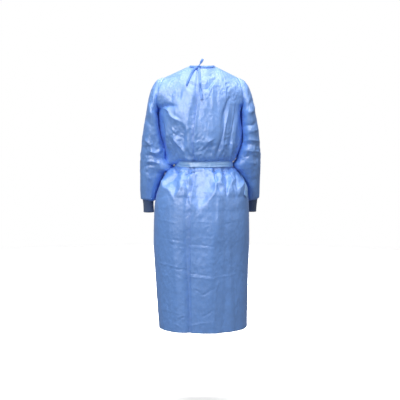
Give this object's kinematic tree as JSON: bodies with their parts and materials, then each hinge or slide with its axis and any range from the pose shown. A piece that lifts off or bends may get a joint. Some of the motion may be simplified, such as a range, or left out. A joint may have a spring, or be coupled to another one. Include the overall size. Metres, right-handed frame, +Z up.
{
  "type": "disposable isolation gown",
  "caption": "Disposable isolation gown in its worn hollow form: back lap with neck tie, belted waist, long set-in sleeves with rib cuffs, open neck, hem and cuffs.",
  "frame": {"origin": "the middle of the neck opening, level with the nape, where the gown hangs on what wears it", "axes": "+Z up, -Y the back of the gown, +X the wearer's right"},
  "size_m": [0.533, 0.3253, 1.1789],
  "materials": {
    "nonwoven_blue": "matte",
    "tape_blue": "matte",
    "rib_knit_navy": "matte"
  },
  "bodies": {
    "root": {"back_left": "nonwoven_blue", "back_right": "nonwoven_blue", "belt_end_back": "tape_blue", "belt_end_front": "tape_blue", "belt_knot": "tape_blue", "cuff_left": "rib_knit_navy", "cuff_right": "rib_knit_navy", "front_panel": "nonwoven_blue", "neck_binding": "tape_blue", "neck_knot": "tape_blue", "neck_loop": "tape_blue", "neck_tie_down": "tape_blue", "neck_tie_left": "tape_blue", "sleeve_left": "nonwoven_blue", "sleeve_right": "nonwoven_blue", "waist_belt": "tape_blue"}
  },
  "joints": []
}
